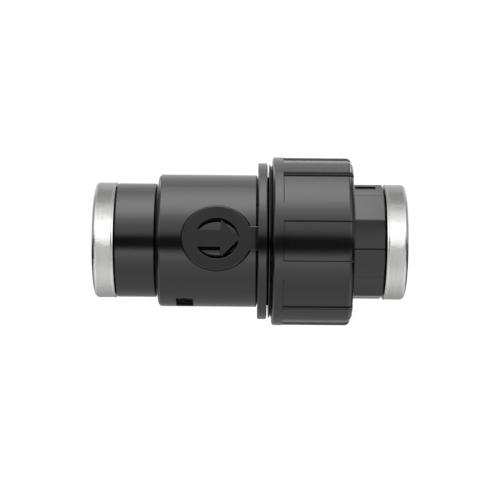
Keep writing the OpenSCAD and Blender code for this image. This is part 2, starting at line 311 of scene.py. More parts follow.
class Nodes:
    """Short way to write a node tree. A value can be a number, a colour or another node's output."""

    def __init__(self, tree, space):
        self.tree = tree
        self.tree.nodes.clear()
        self.coords = self.node("ShaderNodeTexCoord").outputs[space]

    def node(self, kind, **props):
        n = self.tree.nodes.new(kind)
        for k, v in props.items():
            setattr(n, k, v)
        return n

    def link(self, a, b):
        self.tree.links.new(a, b)

    def put(self, socket, value):
        if isinstance(value, (int, float, tuple, list)):
            socket.default_value = value
        else:
            self.link(value, socket)

    def math(self, op, a, b=0.0, clamp=False):
        n = self.node("ShaderNodeMath", operation=op, use_clamp=clamp)
        self.put(n.inputs[0], a)
        self.put(n.inputs[1], b)
        return n.outputs[0]

    def times(self, *values):
        """Product of two or more values."""
        product = values[0]
        for value in values[1:]:
            product = self.math("MULTIPLY", product, value)
        return product

    def noise(self, scale, detail=3.0, rough=0.5, vector=None):
        n = self.node("ShaderNodeTexNoise")
        n.inputs["Scale"].default_value = scale
        n.inputs["Detail"].default_value = detail
        n.inputs["Roughness"].default_value = rough
        self.link(vector or self.coords, n.inputs["Vector"])
        return n.outputs["Fac"]

    def remap(self, value, lo, hi, to_lo, to_hi):
        n = self.node("ShaderNodeMapRange")
        for k, v in zip(("From Min", "From Max", "To Min", "To Max"), (lo, hi, to_lo, to_hi)):
            n.inputs[k].default_value = v
        self.put(n.inputs["Value"], value)
        return n.outputs[0]

    def mix(self, fac, a, b):
        n = self.node("ShaderNodeMix", data_type="RGBA")
        self.put(n.inputs[0], fac)
        self.put(n.inputs[6], a)
        self.put(n.inputs[7], b)
        return n.outputs[2]

    def bump(self, height, strength, distance, under=None):
        n = self.node("ShaderNodeBump")
        n.inputs["Strength"].default_value = strength
        n.inputs["Distance"].default_value = distance
        self.link(height, n.inputs["Height"])
        if under:
            self.link(under, n.inputs["Normal"])
        return n.outputs[0]

    def band(self, value, lo, hi):
        """1 between lo and hi, 0 elsewhere."""
        return self.times(self.math("GREATER_THAN", value, lo), self.math("LESS_THAN", value, hi))

    def xyz(self):
        n = self.node("ShaderNodeSeparateXYZ")
        self.link(self.coords, n.inputs[0])
        return n.outputs

    def radius(self, y, z):
        return self.math("SQRT", self.math("ADD", self.math("POWER", y, 2.0), self.math("POWER", z, 2.0)))

    def angle(self, y, z):
        """Angle about the flow axis in radians, from -Y up towards +Z."""
        return self.math("ARCTAN2", z, self.times(y, -1.0))

    def turn_share(self, y, z):
        """Angle about the flow axis, with -180 to 180 degrees spread over 0 to 1."""
        return self.math("ADD", self.math("DIVIDE", self.angle(y, z), TURN), 0.5)

    def ramp(self, share, stops, top):
        """Level by turn_share, from stops of (degrees, level) with none above top."""
        ramp = self.node("ShaderNodeValToRGB")
        ramp.color_ramp.interpolation = "EASE"
        elements = ramp.color_ramp.elements
        while len(elements) > 1:
            elements.remove(elements[0])
        for k, (degrees, level) in enumerate(stops):
            e = elements.new((degrees + 180) / 360) if k else elements[0]
            e.position = (degrees + 180) / 360
            e.color = (level / top,) * 3 + (1,)
        self.link(share, ramp.inputs[0])
        return self.times(ramp.outputs[0], top)


class Shader(Nodes):
    """A material's node tree, with one principled surface."""

    def __init__(self, name):
        self.mat = bpy.data.materials.new(name)
        self.mat.use_nodes = True
        super().__init__(self.mat.node_tree, "Object")
        self.out = self.node("ShaderNodeOutputMaterial")
        self.bsdf = self.node("ShaderNodeBsdfPrincipled")
        self.link(self.bsdf.outputs[0], self.out.inputs[0])

    def boss_foot_shade(self, x, y, z):
        """1 in the corner round the foot of the arrow boss, where shade is painted, except across its bridge.
        """
        # Painted shade: this band darkens the corner at the boss's foot, standing in for its shadow.
        across = self.math("DIVIDE", self.math("SUBTRACT", x, BOSS_X * MM), BOSS_A * MM)
        upward = self.math("DIVIDE", z, BOSS_B * MM)
        squares = self.math("ADD", self.math("POWER", across, 2.0), self.math("POWER", upward, 2.0))
        foot = self.band(squares, *FOOT_BAND)
        off_bridge = self.math("GREATER_THAN", self.math("ABSOLUTE", z), FOOT_GAP)
        upstream = self.math("LESS_THAN", x, BOSS_X * MM)
        low = self.band(y, BOSS_Y * MM + FOOT_DEPTH, 0.0)
        return self.times(foot, low, self.math("MAXIMUM", off_bridge, upstream))

    def around(self, fine, turn):
        """Coordinates stretched about the flow axis, for brushing and turning marks."""
        x, y, z = self.xyz()
        comb = self.node("ShaderNodeCombineXYZ")
        self.link(self.times(x, fine), comb.inputs[0])
        self.link(self.times(self.angle(y, z), turn), comb.inputs[1])
        self.link(self.times(self.radius(y, z), fine), comb.inputs[2])
        return comb.outputs[0]

    def set(self, **values):
        for k, v in values.items():
            self.put(self.bsdf.inputs[k.replace("_", " ")], v)
        return self.mat


def rgba(colour, scale=1.0):
    return tuple(min(1.0, c * scale) for c in colour) + (1,)


def moulded_plastic(name, base, dark, rough, matt=0.0):
    """Injection-moulded polypropylene with faint grain, flow clouds, scuffs and rubbed patches.

    The arrow pad is rougher by matt; painted shade dims the shine of the sunk gate mark and of the corner round
    the boss's foot.
    """
    s = Shader(name)
    x, y, z = s.xyz()
    cloud = s.noise(55, 4, 0.55)
    grain = s.noise(2600, 2, 0.6)
    waves = s.noise(140, 2, 0.5)
    scuff = s.remap(s.noise(420, 6, 0.75), 0.62, 0.74, 0.0, 1.0)
    patch = s.remap(s.noise(38, 3, 0.5), 0.45, 0.7, 0.0, 1.0)
    wear = s.math("MULTIPLY", scuff, patch, True)
    worn = rgba([c * 1.6 + 0.006 for c in base])
    colour = s.mix(s.times(wear, 0.5), s.mix(cloud, rgba(dark), rgba(base)), worn)
    r = s.math("ADD", s.remap(cloud, 0.3, 0.7, rough - 0.02, rough + 0.03), s.times(wear, 0.12))
    pad = s.times(s.math("LESS_THAN", y, PAD_Y), s.math("LESS_THAN", x, PAD_END))
    r = s.math("ADD", r, s.times(pad, matt))
    # Painted shade: the sunk gate mark's pocket reflects far less, so it looks shadowed.
    gate = s.times(s.band(s.radius(y, z), *GATE_MARK_R), s.band(x, *GATE_MARK_X))
    gate = s.times(gate, s.math("LESS_THAN", z, GATE_MARK_TOP))
    # Painted shade in the gate pocket and at the boss's foot lowers the shine below.
    recess_shade = s.math("ADD", gate, s.boss_foot_shade(x, y, z), True)
    shine = s.math("SUBTRACT", 0.5, s.times(recess_shade, 0.42))
    normal = s.bump(waves, 0.04, 0.0006, s.bump(grain, 0.05, 0.0002))
    return s.set(Base_Color=colour, Roughness=r, Normal=normal, IOR=1.5, Specular_IOR_Level=shine)


def brushed_steel(name, base, rough, fine=2600.0, turn=1.5, strength=0.12, aniso=0.35, dents=0.0, lines=1.0):
    """Stainless with fine marks running round the flow axis, scratches, handling haze and small dents."""
    s = Shader(name)
    marks = s.noise(1.0, 4, 0.6, s.around(fine, turn))
    bands = s.noise(1.0, 2, 0.5, s.around(fine * 0.2, turn * 2))
    haze = s.noise(90, 3, 0.5)
    scratch = s.remap(s.noise(1.0, 5, 0.7, s.around(340, 26)), 0.66, 0.72, 0.0, 1.0)
    lined = s.remap(marks, 0.35, 0.65, 0.5 - lines / 2, 0.5 + lines / 2)
    colour = s.mix(lined, rgba(base, 0.8), rgba(base, 1.1))
    colour = s.mix(s.times(scratch, 0.25), colour, rgba(base, 0.55))
    r = s.remap(marks, 0.3, 0.7, rough - 0.05, rough + 0.06)
    r = s.math("ADD", r, s.remap(haze, 0.35, 0.7, 0.0, 0.08))
    n = s.bump(marks, strength, 0.00012)
    n = s.bump(bands, strength * 0.6, 0.0002, n)
    n = s.bump(s.noise(210, 3, 0.55), dents, 0.0006, n)
    return s.set(Base_Color=colour, Metallic=1.0, Roughness=r, Normal=n, Anisotropic=aniso)


def soft_plastic(name, base, rough, sub=0.0):
    """Matt engineering plastic with tool marks, a little dust, and translucency in the pale grades."""
    s = Shader(name)
    cloud = s.noise(70, 4, 0.6)
    marks = s.noise(1.0, 3, 0.5, s.around(1500, 2))
    dust = s.remap(s.noise(600, 4, 0.7), 0.6, 0.75, 0.0, 0.35)
    colour = s.mix(s.times(dust, 0.3), s.mix(cloud, rgba(base, 0.9), rgba(base)), (0.42, 0.4, 0.37, 1))
    r = s.remap(cloud, 0.3, 0.7, rough - 0.05, rough + 0.07)
    n = s.bump(marks, 0.06, 0.00015)
    return s.set(Base_Color=colour, Roughness=r, Normal=n, Subsurface_Weight=sub, Subsurface_Scale=0.001)


def rubber(name, base, rough):
    """Black rubber with a fine grain and a pale bloom."""
    s = Shader(name)
    cloud = s.noise(160, 4, 0.6)
    grain = s.noise(1500, 3, 0.6)
    bloom = s.remap(s.noise(240, 5, 0.7), 0.55, 0.75, 0.0, 0.3)
    colour = s.mix(bloom, s.mix(cloud, rgba(base, 0.7), rgba(base)), (0.07, 0.07, 0.068, 1))
    r = s.remap(cloud, 0.3, 0.7, rough - 0.06, rough + 0.08)
    return s.set(Base_Color=colour, Roughness=r, Normal=s.bump(grain, 0.12, 0.0002))


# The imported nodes' own materials give way to these.
for packed in list(bpy.data.materials):
    bpy.data.materials.remove(packed)

black_pp = moulded_plastic("black_pp", (0.0042, 0.0043, 0.0046), (0.003, 0.0031, 0.0033), 0.125, matt=0.28)
nut_pp = moulded_plastic("nut_pp", (0.0046, 0.0047, 0.005), (0.0033, 0.0034, 0.0036), 0.14)
ring_steel = brushed_steel(
    "ring_steel", (0.6, 0.6, 0.594), 0.25, strength=0.04, aniso=0.3, dents=0.3, lines=0.3
)
stem_steel = brushed_steel("stem_steel", (0.6, 0.6, 0.6), 0.28, turn=0.8)
spring_steel = brushed_steel(
    "spring_steel", (0.5, 0.5, 0.49), 0.26, fine=900.0, turn=40.0, strength=0.08, aniso=0.2
)
natural_pom = soft_plastic("natural_pom", (0.76, 0.75, 0.7), 0.42, 0.15)
grey_pp = soft_plastic("grey_pp", (0.085, 0.088, 0.092), 0.45)
black_rubber = rubber("black_rubber", (0.016, 0.016, 0.016), 0.55)

MATERIALS = {
    m.name: m
    for m in (black_pp, nut_pp, ring_steel, stem_steel, spring_steel, natural_pom, grey_pp, black_rubber)
}
SLOTS = {row["node"]: row["material_slot"] for row in frame["record"]["subparts"]}
BODY_OF = {n: b for b, ns in frame["record"]["behaviour"]["bodies"].items() for n in ns}


def stands_for(obj, node):
    """The piece takes a CAD node's place: it joins the node's body, and the node is hidden."""
    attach(obj, BODY_OF[node])
    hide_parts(node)


for node_name, node_obj in frame["nodes"].items():
    node_obj.data.materials.clear()
    node_obj.data.materials.append(MATERIALS[SLOTS[node_name]])


# ---------------------------------------------------------------- valve body

inlet_x, thread_end, flange_r = span("valve_body")
_, ring_end, ring_r = span("inlet_ring")
nut_x0, nut_x1, nut_r = span("union_nut")
seat_x0, _, seat_r = span("seat_ring")
cage_x0, _, cage_r = span("guide_cage")

# Pipe threads of the end sockets, with the step at their mouths, then the union's thread.
SOCKET_R, SOCKET_LEN, PIPE_PITCH, PIPE_DEPTH, MOUTH = 16.62, 18.0, 25.4 / 11, 1.42, 1.0
UNION_CREST, UNION_PITCH, UNION_DEPTH = 26.0, 4.0, 1.35
# Radii outside: the barrel, its neck, the plastic under the steel rings, and the groove beside them.
BARREL_R, NECK_R, UNDER_RING, RELIEF_R, RING_GAP = 25.7, 22.15, 21.6, 20.85, 0.7
# Where the barrel's shoulder, the groove at its other end and the flange lie along the flow.
SHOULDER_X, GROOVE_X, FLANGE_X0, FLANGE_X1 = -35.4, 2.6, 2.9, 6.5
# Inside: the port's radius, and the radius and start of the poppet's chamber.
PORT_R, CHAMBER_R, CHAMBER_X = 13.5, 21.0, -30.4
# The arrow's field: how far it is sunk in the barrel, its half axes, its foot, and the lean of its walls.
FIELD_SINK, FIELD_A, FIELD_B, FIELD_FOOT, LEAN = 1.0, 8.15, 7.7, -23.0, math.tan(math.radians(30))
# Height at which the boss and its bridge end, inside the barrel's wall.
BOSS_FOOT = -21.0
# The sunk gate mark under the barrel, and the blend at its walls.
GATE_X, GATE_W, GATE_ANGLE, GATE_HALF, GATE_DEPTH = -25.0, 6.4, math.radians(-77), math.radians(15), 2.5
GATE_BLEND = 0.22
# How close to a threaded wall's radius a point counts as on it.
ON_WALL = 0.02

socket_x0 = inlet_x + MOUTH
socket_x1 = socket_x0 + SOCKET_LEN


def socket_rows(mouth, end):
    """Corners of a socket wall, from the mouth to the bottom, carrying the pipe thread."""
    return rows(mouth, end, SOCKET_R, PIPE_PITCH)


def in_socket(x, r, mouth, end):
    """Points on the wall of a socket, whichever way it faces."""
    lo, hi = min(mouth, end), max(mouth, end)
    return (np.abs(r - SOCKET_R) < ON_WALL) & (x > lo - 0.01) & (x < hi + 0.01)


def body_warp(x, r, t):
    """Cuts the pipe thread, the union thread, the gate mark, and the hollow under the arrow's field."""
    here = in_socket(x, r, socket_x0, socket_x1)
    r = r - here * PIPE_DEPTH * thread_wave(x, t, PIPE_PITCH) * fade(x, socket_x0 - 0.6, socket_x1, 1.2)
    on_thread = (np.abs(r - UNION_CREST) < ON_WALL) & (x > FLANGE_X1 + 1.2)
    groove = UNION_DEPTH * (1 - thread_wave(x, t, UNION_PITCH)) * smooth((x - FLANGE_X1 - 1.4) / 1.0)
    r = r - on_thread * groove
    outer = (r > BARREL_R - 0.5) & (x < GROOVE_X) & (x > SHOULDER_X)
    off = beyond(t, GATE_ANGLE)
    floor = (BARREL_R - GATE_DEPTH) / np.cos(np.clip(off, -0.5, 0.5))
    sunk = inside(GATE_W / 2 - np.abs(x - GATE_X), GATE_BLEND)
    sunk = sunk * inside((GATE_HALF - np.abs(off)) * BARREL_R, GATE_BLEND)
    r = np.where(outer, r + (np.minimum(floor, r) - r) * sunk, r)
    oval_r = np.hypot((x - BOSS_X) / BOSS_A, r * np.sin(t) / BOSS_B)
    return x, r - outer * (np.cos(t) > 0.3) * FIELD_SINK * smooth((0.95 - oval_r) / 0.15)


gate_lines = [GATE_X + s * GATE_W / 2 + o for s in (-1, 1) for o in (-0.14, -0.07, 0, 0.07, 0.14)]
boss_lines = np.arange(BOSS_X - 14, BOSS_X + 14, 0.8)
boss_lines = [v for v in boss_lines if min(abs(v - g) for g in gate_lines) > 0.1]
body_outline = rounded(
    [(inlet_x, SOCKET_R + 1.0, 0.15), (inlet_x, UNDER_RING, 1.2), (ring_end - 0.2, UNDER_RING, 0.05)]
    + [(ring_end + 0.2, RELIEF_R, 0.05), (ring_end + RING_GAP, NECK_R, 0.1)]
    + [(SHOULDER_X - 1.0, NECK_R, 0.35), (SHOULDER_X - 0.5, NECK_R - 1.25, 0.05), (SHOULDER_X, NECK_R, 0.1)]
    + [(SHOULDER_X, BARREL_R, 1.5)]
    + [(v, BARREL_R, 0) for v in sorted(gate_lines + boss_lines)]
    + [(GROOVE_X, BARREL_R, 1.1), (FLANGE_X0 - 0.15, BARREL_R - 1.2, 0.05)]
    + [(FLANGE_X0, BARREL_R - 1.05, 0.05), (FLANGE_X0, flange_r, 0.5)]
    + [(FLANGE_X1, flange_r, 0.5), (FLANGE_X1, UNION_CREST - 1.3, 0.1)]
    + rows(FLANGE_X1 + 1.25, thread_end - 1.2, UNION_CREST, UNION_PITCH, 22)
    + [(thread_end - 1.1, UNION_CREST, 0.1), (thread_end, UNION_CREST - 1.1, 0.2)]
    + [(thread_end, cage_r + 0.9, 0.15), (thread_end - 0.8, cage_r + 0.1, 0.1)]
    + [(cage_x0 - 0.05, cage_r + 0.1, 0.1), (cage_x0 - 0.05, CHAMBER_R, 0.2), (CHAMBER_X, CHAMBER_R, 0.6)]
    + [(CHAMBER_X, seat_r + 0.05, 0.15), (seat_x0, seat_r + 0.05, 0.1), (seat_x0, PORT_R, 0.3)]
    + [(socket_x1, PORT_R, 0.4), (socket_x1, SOCKET_R, 0.1)]
    + socket_rows(socket_x1 - 0.15, socket_x0 + 0.15)
    + [(socket_x0, SOCKET_R, 0.05)]
)
body_angles = fine_angles(256, [GATE_ANGLE - GATE_HALF, GATE_ANGLE + GATE_HALF], 0.012, 9)
shell = lathe("valve_body_visual", body_outline, body_angles, body_warp, material=black_pp)


def leaning(y):
    """Drop of the field's walls at depth y: they run down and in, the way the mould's side core was drawn."""
    return -(y - BOSS_Y) * LEAN


def boss_ring():
    """Oval rim with rounded edges round the leaning field."""
    outer = [(0.0, BOSS_FOOT), (0.0, BOSS_Y + 0.35), (0.05, BOSS_Y + 0.16), (0.16, BOSS_Y + 0.05)]
    outer += [(0.35, BOSS_Y), (0.45, BOSS_Y)]
    inner = [(0.4, BOSS_Y), (0.3, BOSS_Y), (0.1, BOSS_Y + 0.04), (0.02, BOSS_Y + 0.12), (0.0, BOSS_Y + 0.3)]
    inner += [(-0.05, FIELD_FOOT - 0.2)]
    sections = []
    for q in even_angles(160):
        c, s = math.cos(q), math.sin(q)
        sections.append(
            [(BOSS_X + (BOSS_A - d) * c, y, (BOSS_B - d) * s) for d, y in outer]
            + [(BOSS_X + (FIELD_A + d) * c, y, (FIELD_B + d) * s + leaning(y)) for d, y in inner]
        )
    return swept("boss", sections, closed=True)


def arrow():
    """Raised arrow on the field's floor, its walls leaning too, running into the rim at its tail and tip."""
    tail, shaft, neck, barb_x, barb, tip = -9.4, 3.15, 1.1, 1.7, 6.9, 8.7
    upper = [(tail, shaft), (neck, shaft), (barb_x, barb)]
    flat = upper + [(tip, 0.0)] + [(x, -z) for x, z in reversed(upper)]
    return prism("arrow", [(BOSS_X + x, z) for x, z in flat], BOSS_Y + 0.03, FIELD_FOOT, 0.13, 0.5, leaning)


def bridge():
    """Bar between the boss and the flange."""
    x0, x1 = -2.5, FLANGE_X0 + 0.4
    flat = [(x0, -BRIDGE_HALF), (x1, -BRIDGE_HALF), (x1, BRIDGE_HALF), (x0, BRIDGE_HALF)]
    return prism("bridge", flat, BOSS_Y + 0.02, BOSS_FOOT, 0.35, 0.6)


def barrel_y(z):
    """Height of the barrel's surface, on the boss's side."""
    return -math.sqrt(BARREL_R**2 - z**2)


def boss_fillet():
    """Concave strip where the boss's wall runs into the barrel."""
    width, shares = 0.55, np.arange(6) / 5
    sections = []
    for q in even_angles(160):
        x, z = BOSS_A * math.cos(q), BOSS_B * math.sin(q)
        out = np.array([math.cos(q) / BOSS_A, math.sin(q) / BOSS_B])
        out /= np.linalg.norm(out)
        base, far = barrel_y(z), (x + out[0] * width, z + out[1] * width)
        corner = np.array([x, base, z])
        top = np.array([x - out[0] * 0.02, base - min(width, 0.5 * (base - BOSS_Y)), z - out[1] * 0.02])
        foot = np.array([far[0], barrel_y(far[1]) + 0.02, far[1]])
        curve = [(1 - u) ** 2 * top + 2 * u * (1 - u) * corner + u**2 * foot for u in shares]
        sections.append([p + (BOSS_X, 0, 0) for p in curve + [corner + (0, 0.4, 0)]])
    return swept("boss_fillet", sections, closed=True)


def sprue():
    """Torn stub of the moulding sprue, standing on the gate mark's floor."""
    angle, root = math.radians(-72), BARREL_R - GATE_DEPTH
    sections = []
    for h, radius in ((-1.5, 1.0), (0.0, 0.95), (0.9, 0.85), (1.35, 0.7), (1.6, 0.25)):
        section = []
        for q in even_angles(20):
            torn = radius * (1 + 0.12 * math.sin(3 * q + h * 4) + 0.06 * math.sin(7 * q))
            x, w = GATE_X - 0.4 + torn * math.cos(q), torn * math.sin(q)
            up = root + h + (0.22 * math.sin(2 * q + 1) if h > 0.5 else 0)
            y, z = -up * math.cos(angle) + w * math.sin(angle), up * math.sin(angle) + w * math.cos(angle)
            section.append((x, y, z))
        sections.append(section)
    return swept("sprue", sections)


stands_for(join([shell, boss_ring(), arrow(), bridge(), boss_fillet(), sprue()]), "valve_body")

# ---------------------------------------------------------------- union nut

RIDGES, PANEL_DEPTH, PANEL_X, PANEL_BLEND, MOUTH_R = 9, 1.2, 12.6, 0.28, 22.9
RIDGE_STEP = 360 / RIDGES
PANEL_HALF = math.radians(RIDGE_STEP - 13.2) / 2
_, slip_x1, _ = span("slip_ring")
panel_mid = [math.radians(-2 + RIDGE_STEP * k) for k in range(RIDGES)]
panel_edges = [m + s * PANEL_HALF for m in panel_mid for s in (-1, 1)]


def nut_warp(x, r, t):
    """Sinks the panels between the ridges and cuts the thread inside."""
    off = np.min([np.abs(beyond(t, m)) for m in panel_mid], axis=0)
    across = inside((PANEL_HALF - off) * nut_r, PANEL_BLEND)
    along = inside(x - PANEL_X, PANEL_BLEND)
    sunk = r - PANEL_DEPTH * across * along * smooth((r - nut_r + 5.0) / 2.5)
    on_thread = (np.abs(r - UNION_CREST - 0.15) < ON_WALL) & (x > nut_x0 + 1.6) & (x < thread_end + 0.2)
    groove = UNION_DEPTH * (1 - thread_wave(x, t, UNION_PITCH)) * fade(x, nut_x0 + 1.8, thread_end - 0.1, 1.0)
    return x, sunk - on_thread * groove


wall_lines = [PANEL_X + o for o in (-0.2, -0.14, -0.1, -0.06, -0.03, 0, 0.03, 0.06, 0.1, 0.14, 0.2)]
nut_outline = rounded(
    [(nut_x0, 27.4, 0.3), (nut_x0, nut_r - 2.8, 0.3), (nut_x0 + 0.45, nut_r - 2.9, 0.2)]
    + [(nut_x0 + 0.9, nut_r - 3.8, 0.05), (nut_x0 + 1.3, nut_r - 2.5, 0.1), (nut_x0 + 1.35, nut_r, 1.3)]
    + [(v, nut_r, 0) for v in wall_lines]
    + [(nut_x1, nut_r, 2.1), (nut_x1, 25.0, 0.25), (nut_x1 - 0.5, 24.4, 0.2), (nut_x1 - 0.5, MOUTH_R, 0.4)]
    + [(slip_x1 + 0.1, MOUTH_R, 0.2), (slip_x1 + 0.1, UNION_CREST + 0.15, 0.2)]
    + rows(thread_end + 0.4, nut_x0 + 1.7, UNION_CREST + 0.15, UNION_PITCH, 22)
    + [(nut_x0 + 1.3, UNION_CREST + 0.15, 0.1)]
)
nut_angles = fine_angles(288, panel_edges, 0.0125, 9)
stands_for(lathe("union_nut_visual", nut_outline, nut_angles, nut_warp, material=nut_pp), "union_nut")

# ---------------------------------------------------------------- outlet connector

spigot_x0, plastic_x1, collar_r = span("outlet_connector")

# Spigot with its O-ring groove, then the collar, along the flow.
GROOVE_X0, GROOVE_X1, GROOVE_R, COLLAR_X0, COLLAR_X1 = 17.9, 20.4, 20.0, 22.1, 30.5
# Bore: it narrows from the spigot to the socket.
BORE_R, CONE_X0, CONE_X1, CONE_R = 19.0, 20.1, 38.0, 13.8
# Wrench flats: radius over the corners, end, how far their middles are sunk, number, first corner's angle.
FLATS_R, FLATS_END, FLAT_SINK, FLATS, FLAT_TURN = 22.46, 50.9, 0.16, 12, math.radians(20.1)
# Outlet end of the groove beside the steel ring.
RELIEF_X1 = 52.0
# Sunk gate mark on the upper flats, and the blend at its walls.
SLOT_X, SLOT_W, SLOT_ANGLE, SLOT_HALF, SLOT_FLOOR = 44.4, 7.8, math.radians(72), math.radians(3.8), 20.95
SLOT_BLEND = 0.2

outlet_x1 = plastic_x1 - MOUTH
outlet_x0 = outlet_x1 - SOCKET_LEN


def connector_warp(x, r, t):
    """Cuts the pipe thread, the wrench flats, and the gate mark on them."""
    here = in_socket(x, r, outlet_x1, outlet_x0)
    r = r - here * PIPE_DEPTH * thread_wave(x, t, PIPE_PITCH) * fade(x, outlet_x0, outlet_x1 + 0.6, 1.2)
    half = TURN / FLATS / 2
    off = ((t - FLAT_TURN) % (TURN / FLATS)) - half
    flat = FLATS_R * math.cos(half) / np.cos(off) - FLAT_SINK * (1 - (off / half) ** 2)
    flat = np.minimum(flat, FLATS_R - 0.06)
    on_flats = (np.abs(r - FLATS_R) < 0.3) & (x > COLLAR_X1 + 0.5) & (x < FLATS_END + 0.02)
    r = np.where(on_flats, np.minimum(r, flat), r)
    off = beyond(t, SLOT_ANGLE)
    sunk = inside(SLOT_W / 2 - np.abs(x - SLOT_X), SLOT_BLEND)
    sunk = sunk * inside((SLOT_HALF - np.abs(off)) * FLATS_R, SLOT_BLEND)
    floor = SLOT_FLOOR / np.cos(np.clip(off, -0.5, 0.5))
    return x, np.where(on_flats, r + np.minimum(floor - r, 0) * sunk, r)


slot_lines = sorted(SLOT_X + e * SLOT_W / 2 + o for e in (-1, 1) for o in (-0.12, -0.06, 0, 0.06, 0.12))
connector_outline = rounded(
    [(spigot_x0, BORE_R, 0.2), (spigot_x0, cage_r, 0.4), (GROOVE_X0, cage_r, 0.15)]
    + [(GROOVE_X0, GROOVE_R, 0.2), (GROOVE_X1, GROOVE_R, 0.2), (GROOVE_X1, cage_r, 0.15)]
    + [(COLLAR_X0, cage_r, 0.1), (COLLAR_X0, collar_r, 0.4)]
    + [(COLLAR_X1, collar_r, 0.3), (COLLAR_X1, FLATS_R, 0.15)]
    + [(v, FLATS_R, 0) for v in slot_lines]
    + [(FLATS_END - 0.02, FLATS_R, 0.0), (FLATS_END + 0.1, UNDER_RING, 0.05)]
    + [(FLATS_END + 0.3, RELIEF_R, 0.05), (RELIEF_X1, UNDER_RING, 0.05)]
    + [(plastic_x1, UNDER_RING, 1.2), (plastic_x1, SOCKET_R + 1.0, 0.15)]
    + [(outlet_x1, SOCKET_R, 0.05)]
    + socket_rows(outlet_x1 - 0.15, outlet_x0 + 0.15)
    + [(outlet_x0, SOCKET_R, 0.1), (outlet_x0, CONE_R, 0.4), (CONE_X1, CONE_R, 1.0), (CONE_X0, BORE_R, 1.0)]
)
corners = [FLAT_TURN + k * TURN / FLATS for k in range(FLATS)]
slot_edges = [SLOT_ANGLE - SLOT_HALF, SLOT_ANGLE + SLOT_HALF]
connector_angles = fine_angles(192, corners + slot_edges, 0.013, 7)
connector = lathe(
    "outlet_connector_visual", connector_outline, connector_angles, connector_warp, material=black_pp
)
stands_for(connector, "outlet_connector")

# ---------------------------------------------------------------- steel rings

LIP_R, SHEET, BEND = 18.6, 0.8, 2.0
RING_WAVES = {"inlet_ring": 1.3, "outlet_ring": 2.9}


def ring_outline(face, back, way):
    """Pressed ring with a folded lip and a small bead at its open end."""
    under = UNDER_RING + 0.12
    return rounded(
        [(face, LIP_R, 0.3), (face, ring_r - 0.05, BEND), (back - way * 0.95, ring_r - 0.14, 0.3)]
        + [(back - way * 0.6, ring_r, 0.25), (back, ring_r, 0.2), (back, under, 0.06)]
        + [(face + way * SHEET, under, 1.2), (face + way * SHEET, LIP_R, 0.2)],
        step=0.8,
    )


def dented(phase):
    """Sheet metal that isn't quite true: long soft waves, never proud of the CAD ring."""

    def warp(x, r, t):
        wave = sum(math.cos(phase * k) * np.cos(k * t + phase * k * 1.7) / k for k in (2, 3, 5, 8))
        return x, np.where(r > ring_r - 0.5, r - 0.03 * (1 + wave / 2), r)

    return warp


for ring_node, phase in RING_WAVES.items():
    x0, x1, _ = span(ring_node)
    outline = ring_outline(x0, x1, 1) if x0 < 0 else ring_outline(x1, x0, -1)
    ring = lathe(ring_node + "_visual", outline, even_angles(256), dented(phase), material=ring_steel)
    stands_for(ring, ring_node)

# ---------------------------------------------------------------- inner parts

# Spans of the spring, the stem's clip and the poppet's stem, read off their CAD nodes.
spring_x0, spring_x1, spring_r = span("spring")
clip_x0, clip_x1, clip_r = span("stem_clip")
stem_x0, stem_x1, _ = span("poppet_stem")


def spring_sections():
    """Round wire wound with a closed turn at each end, the ends ground flat."""
    wire, turns, per_turn, ground = 1.6, 7, 56, 0.45
    first, last = spring_x0 + ground, spring_x1 - ground
    open_pitch = (last - first - 2 * wire) / (turns - 2)
    round_wire = even_angles(18)
    out = []
    for n in np.arange(per_turn * turns + 1) / per_turn:
        if n < 1:
            mid = first + n * wire
        elif n > turns - 1:
            mid = last - (turns - n) * wire
        else:
            mid = first + wire + (n - 1) * open_pitch
        r = spring_r - wire / 2 + wire / 2 * np.cos(round_wire)
        x = np.clip(mid + wire / 2 * np.sin(round_wire), spring_x0, spring_x1)
        out.append(np.stack([x, r * math.cos(TURN * n), r * math.sin(TURN * n)], axis=-1))
    return out


spring = swept("spring_visual", spring_sections(), material=spring_steel)
stands_for(spring, "spring")
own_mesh(spring)


def clip_sections():
    """E-clip open towards +Y, with three lugs that sit in the stem's groove."""
    gap, lug_half, lug_blend, lug_at = (math.radians(a) for a in (40, 15, 9, 57))
    ring_inner, lug_depth, bevel, end_run, end_drop = 4.2, 1.5, 0.1, 0.9, 0.5
    sections = []
    for q in np.linspace(gap, TURN - gap, 120):
        lug = max(smooth((lug_half - abs(q - c)) / lug_blend) for c in (lug_at, math.pi, TURN - lug_at))
        r0 = ring_inner - lug_depth * lug
        edge = min(1.0, (min(q, TURN - q) - gap) * clip_r / end_run)
        r1 = clip_r - end_drop * (1 - math.sqrt(max(0.0, 1 - (1 - edge) ** 2)))
        section = [(clip_x0, r0 + bevel), (clip_x0, r1 - bevel), (clip_x0 + bevel, r1)]
        section += [(clip_x1 - bevel, r1), (clip_x1, r1 - bevel), (clip_x1, r0 + bevel)]
        section += [(clip_x1 - bevel, r0), (clip_x0 + bevel, r0)]
        sections.append([(x, r * math.cos(q), r * math.sin(q)) for x, r in section])
    return sections


stands_for(swept("stem_clip_visual", clip_sections(), material=MATERIALS[SLOTS["stem_clip"]]), "stem_clip")

# Stem, from its threaded end: the thread, the stop that meets the cage's hub, the shaft, and the clip's groove.
THREAD_R, THREAD_LEN, THREAD_PITCH, THREAD_DEPTH = 2.5, 8.0, 0.8, 0.42
STOP_R, STOP_X0, STOP_X1, SHAFT_R, CLIP_GROOVE_R = 5.4, -20.3, -10.06, 3.5, 2.7


def stem_warp(x, r, t):
    """Cuts the thread for the seal's nut."""
    on_thread = (np.abs(r - THREAD_R) < ON_WALL) & (x < stem_x0 + THREAD_LEN)
    cut = THREAD_DEPTH * (1 - thread_wave(x, t, THREAD_PITCH, 0.12))
    return x, r - on_thread * cut * smooth((x - stem_x0 - 0.5) / 0.5)


